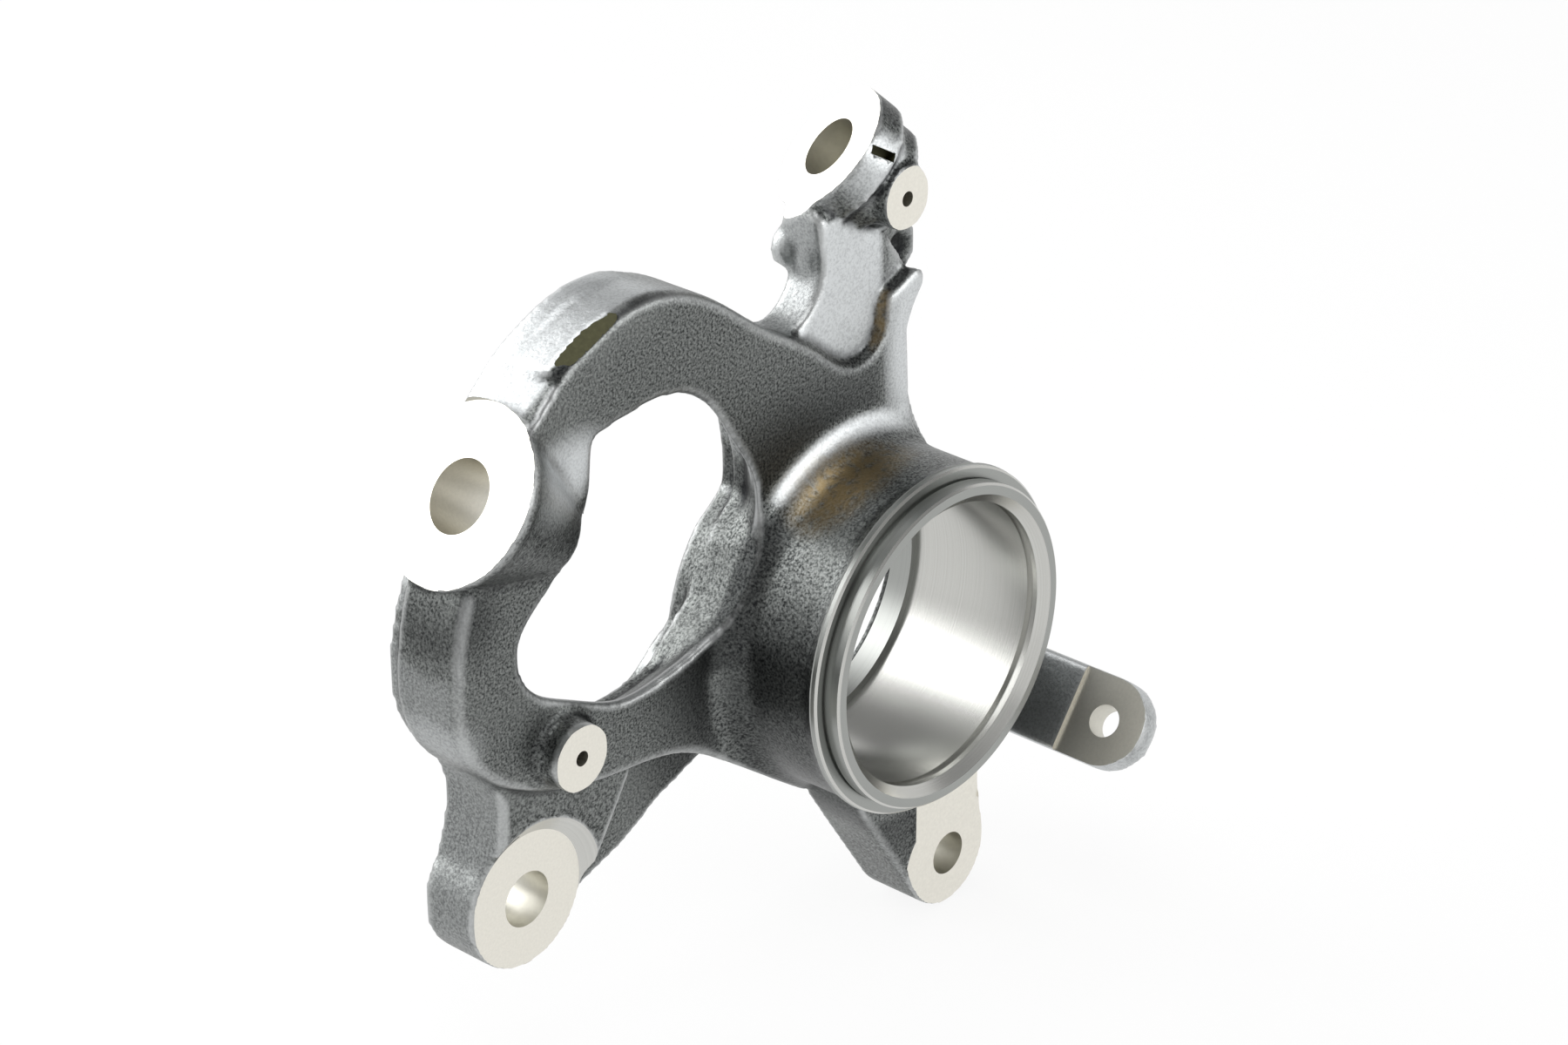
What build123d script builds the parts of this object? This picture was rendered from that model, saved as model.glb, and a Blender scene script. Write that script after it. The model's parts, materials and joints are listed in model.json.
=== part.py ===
"""Steering knuckle: one iron casting with its machined faces and holes.

Millimetres. The hub bore runs along Y and its mouth faces -Y; +Z is up as photographed.
The origin lies on the bore axis, inside the bearing seat.
"""
import math
import os

from build123d import *

# Bearing seat and the hub around it
BORE_D = 80.0               # bearing seat
REGISTER_SET = 21.0         # register face ahead of the origin
SEAT_LENGTH = 43.0          # from the mouth chamfer to the stop
MOUTH_CHAMFER = 2.6
GROOVE_WIDTH = 2.0          # retaining ring groove
GROOVE_DEPTH = 1.2
GROOVE_INSET = 1.4          # from the end of the mouth chamfer
STOP_STEP = 2.0             # how far the bearing stop stands in from the seat
STOP_THICKNESS = 7.0
REGISTER_WALL = 5.7         # register's radius over the seat's
REGISTER_HEIGHT = 5.0
SHOULDER_WALL = 3.3         # shoulder's radius over the register's
TURNED_BAND = 1.8           # turned ring behind the shoulder
BARREL_INSET = 0.9          # cast barrel's radius under the turned ring's
BARREL_DRAFT = 0.5          # degrees
BACK_BORE_R = 42.5          # relief behind the stop
COVE_R = 10.0               # between barrel and plate

# Plate and its kidney window
PLATE_BACK_SET = 36.0       # register face to plate face
PLATE_THICKNESS = 15.0      # round the window
RIM_HEIGHT = 7.0            # rest of the plate, standing out behind
RIM_INSET = 7.0             # rim's inner edge outside the window
RIM_GAP = 1.5               # metal left round the barrel behind the plate
PLATE_EDGE_R = 2.5
WINDOW_MIDDLE = (-78.0, 45.0)

# Left boss, cross-drilled through the ring
LEFT_AT = (-132.0, 26.0, 78.0)      # centre of the spot face
LEFT_TILT = 36.0                    # degrees its axis rises from level
LEFT_TURN = 6.0                     # degrees its axis leans to the back
LEFT_BOSS_R = 24.5                  # also the spot cutter's
LEFT_BOSS_END_R = 11.0
LEFT_BOSS_LENGTH = 34.0
LEFT_BOSS_FOOT = 19.9               # hole to the boss's flat lower side
LEFT_FOOT_TURN = 9.7                # degrees that flat is turned round the hole
LEFT_HOLE_D = 19.6
LEFT_SHOULDER = 4.5                 # how far the ring above the boss stands out of the spot face
LEFT_SHOULDER_BACK = 3.0            # the same at its back
LEFT_SHOULDER_AT = (-108.5, 102.5)  # where that swelling starts on the ring

# Flat dressed on the ring's front edge above the left boss, and the swelling that it clips
EDGE_FLAT_AT = (-95.5, 108.5)       # middle of its line on the plate's front
EDGE_FLAT_TURN = 22.8               # degrees that line rises to the right
EDGE_FLAT_LEAN = 36.0               # degrees the flat leans to the front
BACK_FIN = 0.8                      # how far the back of the swelling stands out of its front

# Small boss on the plate
PAD_AT = (-110.5, 2.5)
PAD_R = 9.2
PAD_HEIGHT = 7.0
PAD_HOLE_D = 4.2
PAD_HOLE_DEPTH = 14.0

# Lower left ear
EAR_AT = (-116.0, -43.0)
EAR_R = 19.5
EAR_FACE_SET = 9.0          # behind the plate face
EAR_THICKNESS = 18.0
EAR_HOLE_D = 15.6
EAR_SPOT_R = 22.0
EAR_SPOT_DEPTH = 3.5

# Lower middle ear
FOOT_AT = (19.0, -78.5)
FOOT_R = 15.5
FOOT_FACE_SET = 15.0        # behind the register face
FOOT_THICKNESS = 21.0
FOOT_HOLE_D = 12.6

# Right tab, drilled toward the bore axis
TAB_ANGLE = -37.0           # degrees round the bore axis from +X
TAB_FACE_R = 72.0           # bore axis to the tab's face
TAB_THICKNESS = 8.0
TAB_WIDTH = 26.0
TAB_HOLE_Y = -30.0
TAB_HOLE_D = 9.4
TAB_FACE_BACK = 11.5        # milled face behind its hole
TAB_SPOT_DEPTH = 1.2
TAB_ARM_BACK = 18.0         # back of the arm
TAB_WEB_FRONT = 2.0         # front of its web to the barrel

# Top arm with its rib
ARM_LEFT = -8.5
ARM_RIGHT = 26.0
ARM_TOP = 116.0             # bore axis to the arm's top; what the arm carries follows it
ARM_WEB_SET = 3.5           # web behind the plate face
ARM_THICKNESS = 12.5
NECK_SET = 4.5              # neck behind the web's face
NECK_THICKNESS = 10.5
STUB_AT = (-3.9, ARM_TOP - 14)      # stub on the arm's back
STUB_R = 5.8
STUB_HEIGHT = 4.5
BRIDGE_SET = 9.0            # thin bridge from small boss to rib, behind the plate face
BRIDGE_THICKNESS = 6.0
NOTCH_AT = (30.0, ARM_TOP - 23)     # blind hollow between rib and small boss
NOTCH_R = 4.6
NOTCH_DEPTH = 11.0          # behind the plate face

# Top lug, pinched round a ball joint pin
LUG_AT = (8.0, 30.0, ARM_TOP + 10.8)    # centre of its face
LUG_AXIS = (-0.64, 0.38, 0.67)      # out of that face
LUG_R = 18.8
LUG_THICKNESS = 9.5
LUG_CORE_R = 16.3
LUG_CORE_LENGTH = 17.5
SLIT_WIDTH = 4.0
SLIT_DEPTH = 5.0
SLIT_TURN = -84.0           # degrees round the lug
LUG_HOLE_D = 17.4
LUG_HOLE_DEPTH = 14.0

# Small boss on the top arm
POST_AT = (15.2, ARM_TOP - 0.5)
POST_R = 8.6
POST_BACK_R = 9.5
POST_FACE_SET = 6.0         # ahead of the plate face
POST_HOLE_D = 4.2
POST_HOLE_DEPTH = 10.0


# Lines worked out once from the sizes above
SEAT_R = BORE_D / 2
MOUTH_Y = -REGISTER_SET
SEAT_FRONT_Y = MOUTH_Y + MOUTH_CHAMFER
STOP_Y = SEAT_FRONT_Y + SEAT_LENGTH
STOP_BACK_Y = STOP_Y + STOP_THICKNESS
REGISTER_R = SEAT_R + REGISTER_WALL
SHOULDER_R = REGISTER_R + SHOULDER_WALL
SHOULDER_Y = MOUTH_Y + REGISTER_HEIGHT
BARREL_R = SHOULDER_R - BARREL_INSET
PLATE_Y = MOUTH_Y + PLATE_BACK_SET
PLATE_BACK_Y = PLATE_Y + PLATE_THICKNESS
RIM_Y = PLATE_BACK_Y + RIM_HEIGHT
HUB_BACK_Y = RIM_Y


def at_y(y):
    """Sketch plane square to the bore at y: its x is X, its y is Z, its normal is -Y."""
    return Plane(origin=(0, y, 0), x_dir=(1, 0, 0), z_dir=(0, -1, 0))


def slab(face, front, back):
    """A flat outline in X and Z made solid from front to back along Y."""
    return extrude(at_y(back) * face, amount=back - front)


def disc(at, radius, front, back):
    return slab(Pos(at[0], at[1]) * Circle(radius), front, back)


def tangent_web(a, ra, b, rb):
    """Outline wrapped round two circles."""
    return make_hull((Pos(*a) * Circle(ra)).edges() + (Pos(*b) * Circle(rb)).edges())


def turned_hub():
    """Barrel, turned ring and register about Y; the barrel swells a little to the back."""
    band = SHOULDER_Y + TURNED_BAND
    swell = (HUB_BACK_Y - band) * math.tan(math.radians(BARREL_DRAFT))
    profile = Polyline(
        (0, MOUTH_Y), (REGISTER_R, MOUTH_Y), (REGISTER_R, SHOULDER_Y), (SHOULDER_R, SHOULDER_Y),
        (SHOULDER_R, band), (BARREL_R, band), (BARREL_R + swell, HUB_BACK_Y), (0, HUB_BACK_Y),
        close=True)
    return revolve(make_face(profile), Axis.Y)


def cove():
    """Fillet of metal between the barrel and the plate's front."""
    start, end = (BARREL_R, PLATE_Y - COVE_R), (BARREL_R + COVE_R, PLATE_Y)
    sag = COVE_R * (1 - math.sqrt(0.5))
    middle = (BARREL_R + sag, PLATE_Y - sag)
    depth, inner = PLATE_Y + PLATE_THICKNESS / 2, BARREL_R - COVE_R / 2
    line = Polyline(end, (end[0], depth), (inner, depth), (inner, start[1]), start)
    ring = revolve(make_face([line, ThreePointArc(start, middle, end)]), Axis.Y)
    return ring & slab(plate_outline(), start[1] - 1, PLATE_BACK_Y)


def plate_outline():
    """Front level: the ring's outside run, closed through the hub and round the arm's rib."""
    run = Spline((16.5, 86.5), (14.4, 81), (12.8, 75), (7.5, 71), (-0.5, 71.6), (-11, 79), (-32, 92.5),
                 (-52, 107), (-72, 114.5), (-92, 112), (-108, 103), (-120, 88), (-133, 70),
                 (-142, 53), (-145.5, 33), (-143, 14), (-134, 2), (-121, -6), (-97, -13.5),
                 (-68, -18), (-46, -30), (-20, -48.5))
    rib = Polyline(run @ 1, (0, -30), (24, 30), (25.6, 56), (24.5, 74), (27, 79.5), (31, 85), (31.2, 89),
                   (27.5, 91.3), run @ 0)
    return make_face([run, rib])


def window_outline(grow=0.0):
    """The kidney window, its right side following the barrel; grow moves it outward."""
    run = [(-94.5, 84.5), (-79, 86.5), (-64, 85), (-54, 78), (-46, 66), (-38, 53),
           (-36.5, 40), (-42.6, 26.6), (-52, 13.8), (-68, 8.2), (-88, 7), (-106, 14.5),
           (-121.5, 25), (-124, 37), (-111, 50), (-100, 62), (-96.5, 75)]
    middle = Vector(*WINDOW_MIDDLE)
    moved = [Vector(*p) + (Vector(*p) - middle).normalized() * grow for p in run]
    return make_face(Spline(*moved, periodic=True))


def plate():
    """Ring and the arm's rib at their full depth, before the window is cut."""
    body = slab(plate_outline(), PLATE_Y, RIM_Y)
    return fillet(body.faces().sort_by(Axis.Y)[0].outer_wire().edges(), PLATE_EDGE_R)


def window_cut():
    """The window right through, wider behind the plate, where it leaves the hub whole."""
    wide = slab(window_outline(RIM_INSET), PLATE_BACK_Y, RIM_Y + 20)
    wide -= disc((0, 0), BARREL_R + RIM_GAP, PLATE_BACK_Y - 1, RIM_Y + 30)
    return slab(window_outline(), PLATE_Y - 40, RIM_Y + 20) + wide


def left_plane():
    """Plane of the left boss's spot face, its normal out of the casting."""
    rise, turn = math.radians(LEFT_TILT), math.radians(LEFT_TURN)
    out = (-math.cos(rise) * math.cos(turn), math.sin(turn), math.sin(rise) * math.cos(turn))
    return Plane(origin=LEFT_AT, z_dir=out)


def left_boss():
    """Tapered boss that runs from the spot face through the ring to the window."""
    spot = left_plane()
    body = loft([spot * Circle(LEFT_BOSS_R), spot.offset(-LEFT_BOSS_LENGTH) * Circle(LEFT_BOSS_END_R)])
    turn, up = math.radians(LEFT_FOOT_TURN), along_face()
    down = up.cross(spot.z_dir) * math.sin(turn) - up * math.cos(turn)
    under = Plane(origin=Vector(*LEFT_AT) + down * LEFT_BOSS_FOOT, x_dir=spot.z_dir, z_dir=down)
    return body - extrude(under * Rectangle(24, 90), amount=20)


def along_face():
    """Upward direction in the left spot face, square to the bore."""
    return Vector(math.sin(math.radians(LEFT_TILT)), 0, math.cos(math.radians(LEFT_TILT)))


def radial_plane(at, turn):
    """Upright plane through at, its x outward at turn degrees round the bore and its y toward the mouth."""
    t = math.radians(turn)
    return Plane(origin=(at[0], 0, at[1]), x_dir=(math.cos(t), 0, math.sin(t)),
                 z_dir=(math.sin(t), 0, -math.cos(t)))


def left_shoulder():
    """Swelling of the ring down to the boss, proud of its spot face, so that the cutter leaves a wall."""
    near = Vector(*LEFT_AT) + along_face() * (LEFT_BOSS_R / 2)
    far_end = Polyline((0, -PLATE_Y), (LEFT_SHOULDER_BACK, -RIM_Y), (-18, -RIM_Y), (-18, -PLATE_Y),
                       close=True)
    near_end = Polyline((LEFT_SHOULDER, LEFT_SHOULDER - PLATE_Y), (LEFT_SHOULDER_BACK, -RIM_Y), (-18, -RIM_Y),
                        (-18, -PLATE_Y), close=True)
    return loft([radial_plane(LEFT_SHOULDER_AT, 119) * make_face(far_end),
                 radial_plane((near.X, near.Z), 180 - LEFT_TILT) * make_face(near_end)], ruled=True)


def crescent(inset=0.0):
    """Outline of the swelling round the ring's top left; inset moves its outer edge in."""
    turn = math.radians(119)
    start = (LEFT_SHOULDER_AT[0] + LEFT_SHOULDER_BACK * math.cos(turn),
             LEFT_SHOULDER_AT[1] + LEFT_SHOULDER_BACK * math.sin(turn))
    outer = Spline(start, (-98, 111.7 - inset), (-83, 115.9 - inset), (-64, 112.6))
    inner = Polyline(outer @ 1, (-75, 104), (-100, 95), start)
    return make_face([outer, inner])


def back_flange():
    """Swelling of the ring's top left, with a thin fin at its back."""
    return slab(crescent(BACK_FIN), PLATE_Y + PLATE_EDGE_R, PLATE_BACK_Y + 1) + \
        slab(crescent(), PLATE_BACK_Y, RIM_Y)


def edge_flat():
    """Cutter for the flat across the ring's front edge."""
    turn, lean = math.radians(EDGE_FLAT_TURN), math.radians(EDGE_FLAT_LEAN)
    out = (-math.sin(turn) * math.cos(lean), -math.sin(lean), math.cos(turn) * math.cos(lean))
    cut = Plane(origin=(EDGE_FLAT_AT[0], PLATE_Y, EDGE_FLAT_AT[1]), x_dir=(math.cos(turn), 0, math.sin(turn)),
                z_dir=out)
    return extrude(cut * Rectangle(40, 26), amount=6)


def left_cuts():
    spot = left_plane()
    face = extrude(spot * Circle(LEFT_BOSS_R), amount=60)
    hole = extrude(spot * Circle(LEFT_HOLE_D / 2), amount=-LEFT_BOSS_LENGTH - LEFT_BOSS_END_R)
    return face + hole


def pad():
    return disc(PAD_AT, PAD_R, PLATE_Y - PAD_HEIGHT, PLATE_Y + 5)


def lower_left_ear():
    """Waisted arm from the plate's lower left corner down to the ear, with a thin web on its right."""
    front = PLATE_Y + EAR_FACE_SET - EAR_SPOT_DEPTH
    back = PLATE_Y + EAR_FACE_SET + EAR_THICKNESS
    left = Spline((-134, 60), (-141, 44), (-143.5, 28), (-138, 9), (-128, -5), (-127.5, -20),
                  (-135.2, -38))
    right = Polyline((-135.2, -38), EAR_AT, (-98, -48), (-88, -33), (-80, -20), (-80, 10), (-115, 50),
                     left @ 0)
    arm = slab(make_face([left, right]), front, back)
    gusset = make_face(Polyline((-104, -57), (-90, -53), (-74, -47.5), (-60, -40), (-44, -34),
                                (-50, 0), (-90, 0), close=True))
    return arm + disc(EAR_AT, EAR_R, front, back) + slab(gusset, back - 12, back - 4)


def foot():
    """Ear below the hub and its web."""
    front = MOUTH_Y + FOOT_FACE_SET
    web = tangent_web(FOOT_AT, FOOT_R, (4, -40), 24)
    return slab(web, front, front + FOOT_THICKNESS)


def tab_plane():
    """Plane of the right tab's face, its normal toward the bore axis."""
    turn = math.radians(TAB_ANGLE)
    at = (TAB_FACE_R * math.cos(turn), TAB_HOLE_Y, TAB_FACE_R * math.sin(turn))
    return Plane(origin=at, x_dir=(0, -1, 0), z_dir=(-math.cos(turn), 0, -math.sin(turn)))


def tab():
    """Arm that reaches forward past the hub, on a web out from the barrel."""
    face = tab_plane()
    half = TAB_WIDTH / 2
    length = TAB_ARM_BACK - TAB_HOLE_Y
    outline = Circle(half) + Pos(-length / 2, 0) * Rectangle(length, TAB_WIDTH)
    arm = extrude(face * outline, amount=-TAB_THICKNESS)
    rough = length - TAB_FACE_BACK
    raised = Pos(-TAB_FACE_BACK - rough / 2, 0) * Rectangle(rough, TAB_WIDTH)
    arm += extrude(face * raised, amount=TAB_SPOT_DEPTH)
    inner, outer = SEAT_R + 4, TAB_FACE_R + 3
    reach = Pos((inner + outer) / 2, 0) * Rectangle(outer - inner, TAB_WIDTH)
    web = slab(Rot(0, 0, TAB_ANGLE) * reach, TAB_WEB_FRONT, TAB_ARM_BACK)
    return arm + web


def top_arm():
    """Recessed web up to the lug, and the concave corner down to the barrel on its right."""
    front = PLATE_Y + ARM_WEB_SET
    left = Spline((ARM_LEFT - 12, 86), (ARM_LEFT - 4, 89), (ARM_LEFT + 0.8, 96),
                  (ARM_LEFT + 0.8, ARM_TOP - 10))
    web = Polyline(left @ 1, (ARM_LEFT, ARM_TOP - 2), (5.5, ARM_TOP - 9), (ARM_RIGHT - 6, ARM_TOP - 15.5),
                   (ARM_RIGHT, ARM_TOP - 24), (ARM_RIGHT, 30), (-20, 40), left @ 0)
    body = slab(make_face([left, web]), front, front + ARM_THICKNESS)
    low = ARM_TOP - 18
    neck = Polyline((ARM_LEFT + 1, low), (ARM_LEFT + 1, ARM_TOP - 4), (ARM_LEFT + 8, ARM_TOP + 2),
                    (ARM_RIGHT - 4, ARM_TOP + 2), (ARM_RIGHT + 2, ARM_TOP - 8), (ARM_RIGHT + 2, low),
                    close=True)
    body += slab(make_face(neck), front + NECK_SET, front + NECK_SET + NECK_THICKNESS)
    body += disc(STUB_AT, STUB_R, front + ARM_THICKNESS - 0.5, front + ARM_THICKNESS + STUB_HEIGHT)
    corner = [ThreePointArc((24.6, 72), (29, 49), (40, 30)),
              Polyline((40, 30), (20, 10), (10, 60), (24.6, 72))]
    return body + slab(make_face(corner), PLATE_Y + PLATE_EDGE_R, front + ARM_THICKNESS)


def bridge():
    """Thin web that joins the small boss's foot to the top of the rib, behind the hollow."""
    top = ARM_TOP - 9
    outline = Polyline((20, 82), (32, 85.5), (36.8, 89.5), (37.2, top - 12), (33, top - 3),
                       (30, top + 3), (18, top), close=True)
    return slab(make_face(outline), PLATE_Y + BRIDGE_SET, PLATE_Y + BRIDGE_SET + BRIDGE_THICKNESS)


def notch():
    return disc(NOTCH_AT, NOTCH_R, PLATE_Y + ARM_WEB_SET - 2, PLATE_Y + NOTCH_DEPTH)


def post():
    """Small boss beside the lug, on a wider foot."""
    back = PLATE_Y + ARM_WEB_SET + ARM_THICKNESS
    foot_at = (POST_AT[0] + 4, POST_AT[1] - 2)
    stem = disc(POST_AT, POST_R, PLATE_Y - POST_FACE_SET, back)
    return stem + disc(foot_at, POST_BACK_R, PLATE_Y + 2, back)


def lug_plane():
    return Plane(origin=LUG_AT, z_dir=LUG_AXIS)


def lug():
    """Flange round the pin's hole and the core behind it."""
    face = lug_plane()
    return extrude(face * Circle(LUG_R), amount=-LUG_THICKNESS) + \
        extrude(face * Circle(LUG_CORE_R), amount=-LUG_CORE_LENGTH)


def slit():
    """Relief groove in the lug's side."""
    face = lug_plane()
    at = Rot(0, 0, SLIT_TURN) * Pos(LUG_R, 0) * Rectangle(2 * SLIT_DEPTH, SLIT_WIDTH)
    return extrude(face.offset(-SLIT_WIDTH / 3) * at, amount=-LUG_THICKNESS)


def bore():
    """Bearing seat, its stop and the relief behind the stop."""
    cut = extrude(at_y(STOP_Y) * Circle(SEAT_R), amount=STOP_Y - MOUTH_Y + 1)
    cut += extrude(at_y(HUB_BACK_Y + 20) * Circle(SEAT_R - STOP_STEP), amount=HUB_BACK_Y + 20 - STOP_Y + 1)
    cut += extrude(at_y(HUB_BACK_Y + 20) * Circle(BACK_BORE_R), amount=HUB_BACK_Y + 20 - STOP_BACK_Y)
    return cut


def mouth_cuts():
    """Mouth chamfer and the retaining ring's groove."""
    c = MOUTH_CHAMFER
    chamfer_face = Polyline((0, MOUTH_Y - 1), (SEAT_R + c + 1, MOUTH_Y - 1), (SEAT_R, SEAT_FRONT_Y),
                            (0, SEAT_FRONT_Y), close=True)
    start = SEAT_FRONT_Y + GROOVE_INSET
    groove = Polyline((SEAT_R - 2, start), (SEAT_R + GROOVE_DEPTH, start),
                      (SEAT_R + GROOVE_DEPTH, start + GROOVE_WIDTH), (SEAT_R - 2, start + GROOVE_WIDTH),
                      close=True)
    return revolve(make_face(chamfer_face), Axis.Y) + revolve(make_face(groove), Axis.Y)


def casting():
    body = turned_hub() + cove() + plate() + lower_left_ear() + top_arm()
    body += back_flange()
    body -= edge_flat()
    body += left_shoulder()
    body += left_boss()
    body += bridge()
    body -= window_cut()
    body += foot() + tab() + (lug() - slit())
    body += post() + pad()
    body -= left_cuts()
    body -= notch()
    front = PLATE_Y + EAR_FACE_SET
    body -= disc(EAR_AT, EAR_SPOT_R, front - 30, front)
    body -= disc(EAR_AT, EAR_HOLE_D / 2, front - 1, front + EAR_THICKNESS + 1)
    foot_face = MOUTH_Y + FOOT_FACE_SET
    body -= disc(FOOT_AT, FOOT_HOLE_D / 2, foot_face - 1, foot_face + FOOT_THICKNESS + 1)
    body -= extrude(tab_plane() * Circle(TAB_HOLE_D / 2), amount=-TAB_THICKNESS - 2)
    body -= extrude(lug_plane() * Circle(LUG_HOLE_D / 2), amount=-LUG_HOLE_DEPTH)
    body -= extrude(lug_plane() * Circle(LUG_R + 4), amount=30)
    post_face, pad_face = PLATE_Y - POST_FACE_SET, PLATE_Y - PAD_HEIGHT
    body -= disc(POST_AT, POST_R + 1, post_face - 10, post_face)
    body -= disc(POST_AT, POST_HOLE_D / 2, post_face - 1, post_face + POST_HOLE_DEPTH)
    body -= disc(PAD_AT, PAD_HOLE_D / 2, pad_face - 1, pad_face + PAD_HOLE_DEPTH)
    body -= bore()
    body -= mouth_cuts()
    return body


def main():
    os.makedirs("parts", exist_ok=True)
    solid = casting()
    print("solids", len(solid.solids()), "volume", round(solid.volume / 1000, 1), solid.bounding_box())
    export_step(solid.solid(), "parts/knuckle_casting.step")


main()
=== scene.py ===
"""Looks of the steering knuckle: a sand-cast iron blank with its machined faces cut into it."""

import json
import math

import bmesh
import bpy
import numpy as np
from mathutils import Matrix, Vector


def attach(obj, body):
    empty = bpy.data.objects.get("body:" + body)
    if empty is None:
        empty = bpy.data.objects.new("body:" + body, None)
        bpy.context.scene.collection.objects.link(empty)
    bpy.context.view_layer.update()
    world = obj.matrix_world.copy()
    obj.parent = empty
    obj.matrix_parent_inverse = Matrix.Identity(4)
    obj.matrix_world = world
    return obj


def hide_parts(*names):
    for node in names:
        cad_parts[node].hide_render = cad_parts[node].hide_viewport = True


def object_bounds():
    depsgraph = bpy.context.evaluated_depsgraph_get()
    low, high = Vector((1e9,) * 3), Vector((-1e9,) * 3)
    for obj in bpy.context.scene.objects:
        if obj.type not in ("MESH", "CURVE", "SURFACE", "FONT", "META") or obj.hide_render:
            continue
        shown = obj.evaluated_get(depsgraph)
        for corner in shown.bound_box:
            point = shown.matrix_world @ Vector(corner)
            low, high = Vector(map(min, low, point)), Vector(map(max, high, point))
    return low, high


bl_info = {
    "name": "Steering Knuckle Looks",
    "version": (1, 0, 0),
    "blender": (4, 5, 0),
    "location": "View3D > Sidebar > Knuckle",
    "description": "Builds the cast blank, its machined faces and the studio",
    "category": "Object",
}

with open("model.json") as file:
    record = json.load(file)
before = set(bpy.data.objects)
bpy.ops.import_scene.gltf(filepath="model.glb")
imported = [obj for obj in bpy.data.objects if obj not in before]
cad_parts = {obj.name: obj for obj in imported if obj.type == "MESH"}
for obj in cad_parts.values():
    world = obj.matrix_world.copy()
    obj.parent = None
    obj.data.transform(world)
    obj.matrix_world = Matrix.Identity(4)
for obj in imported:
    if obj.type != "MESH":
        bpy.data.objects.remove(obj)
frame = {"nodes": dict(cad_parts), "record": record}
CAD_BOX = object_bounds()
MOUNTS = {m["name"]: m for m in frame["record"]["mounts"]}
CASTING = "knuckle_casting"
# From a mount's stated point out to its machined face, in mm
FACE_OUT = {"left_boss_hole": 14, "lower_left_ear_hole": 9, "lower_middle_ear_hole": 10.5,
            "sensor_tab_hole": 4, "top_lug_hole": 6, "plate_boss_hole": 4, "top_boss_hole": 3}
# Material slots; the fourth is dark olive painted shade, on the facet across the ring's edge and in the
# lug's slit
SKIN, SEAT, MILLED, PAINTED_SHADE_SLOT, DRILLED, REGISTER = range(6)
MM = 0.001
# Pull of each smoothing pass toward the mean of the neighbours
PULL = 0.6
# Depth of the stock under a machined face, in m
STOCK_DEPTH = 0.003
# Mount, radius of the stock on its face, and how far the plug runs past the hole's end, in m
STOCKED = (("left_boss_hole", 0.0240, -0.006), ("lower_middle_ear_hole", 0.0155, 0),
           ("plate_boss_hole", 0.0092, 0), ("top_boss_hole", 0.0086, 0))
# Strength, centre and reach of single places on the casting, in mm: cast joints to smooth, places of painted
# light, places of painted shade
JOINTS = ((1.0, (-106, 22, 66), (24, 22, 22)), (0.4, (8, 26, 108), (22, 14, 8)),
          (0.8, (2, -6, -62), (30, 14, 24)))
PAINTED_LIGHT_SPOTS = ((1.0, (-109, 15, 79), (26, 22, 13)), (0.5, (-146, 26, 14), (14, 20, 13)),
       (0.9, (61, -41, -46), (14, 9, 14)), (0.7, (18, 24, 122), (7, 8, 4.5)))
PAINTED_SHADE_SPOTS = ((0.8, (-106, 20, 65), (20, 18, 6)), (1.0, (-141, 26, 50), (18, 22, 20)),
       (1.0, (30, 22, 91), (7, 9, 7)))


def linear(text):
    """An sRGB hex colour as linear red, green, blue."""
    parts = [int(text[i:i + 2], 16) / 255 for i in (0, 2, 4)]
    return tuple(c / 12.92 if c <= 0.04045 else ((c + 0.055) / 1.055) ** 2.4 for c in parts)


def size(label, text, value):
    return bpy.props.FloatProperty(name=label, description=text, default=value, unit="LENGTH", precision=5)


def colour(label, text, value):
    return bpy.props.FloatVectorProperty(
        name=label, description=text, default=linear(value), subtype="COLOR", size=3, min=0, max=1)


class KnuckleSizes(bpy.types.PropertyGroup):
    grain: size("Mesh grain", "Face size of the cast blank", 1.2 * MM)
    stock: size("Machining stock", "Metal left on the blank for each machined face", 1.0 * MM)
    softening: bpy.props.IntProperty(
        name="Softening", description="Smoothing passes that round the cast edges", default=2, min=0, max=40)
    register_radius: size("Register radius", "Turned ring round the mouth", 45.7 * MM)
    band_radius: size("Band radius", "Turned band behind the register", 49.0 * MM)
    mouth: size("Mouth", "Register face, ahead of the origin", 21.0 * MM)


class KnuckleColours(bpy.types.PropertyGroup):
    skin: colour("Cast skin", "Tops of the as-cast grain", "888B89")
    skin_dark: colour("Cast skin, dark", "Pits and shaded grain of the skin", "282A2A")
    # Painted highlight: the light colour that lit places of the skin are lightened toward
    skin_painted_highlight: colour("Cast skin, rubbed", "Rubbed places of the skin, which catch the light", "D6D9DA")
    # Painted shade: the dark colour that creases and shaded places of the skin are darkened toward
    painted_shade_colour: colour("Crevice", "Dirt in creases and unlit skin", "17181A")
    # Painted highlight on the skin's convex edges
    edge: colour("Edge", "Rubbed cast edges", "D2D4D4")
    drilled: colour("Drilled iron", "Walls of the holes", "D8D6CC")
    register: colour("Register", "Register, band and bearing stop", "A2A4A1")
    oil: colour("Oil tint", "Thin brown film on the barrel", "8F7C58")
    cut: colour("Machined iron", "Fresh milled faces, and the left boss's hole", "EDEAE0")
    turned: colour("Turned iron", "Bearing seat, chamfers and the flanks of spot faces", "C9C9C5")
    # Dark olive painted shade, on the facet across the ring's edge and on the slit's walls
    olive_painted_shade: colour("Dressed edge", "Browned flat on the ring's edge, and the lug's slit", "55543A")
    floor: colour("Floor", "Pale floor", "FFFFFF")


def sizes():
    return bpy.context.scene.knuckle_sizes


def colours():
    return bpy.context.scene.knuckle_colours


# Shapes


def frame_on(point, direction):
    """Matrix that puts a tool's +Z along direction at point."""
    turn = Vector((0, 0, 1)).rotation_difference(Vector(direction).normalized())
    return Matrix.Translation(point) @ turn.to_matrix().to_4x4()


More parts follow.
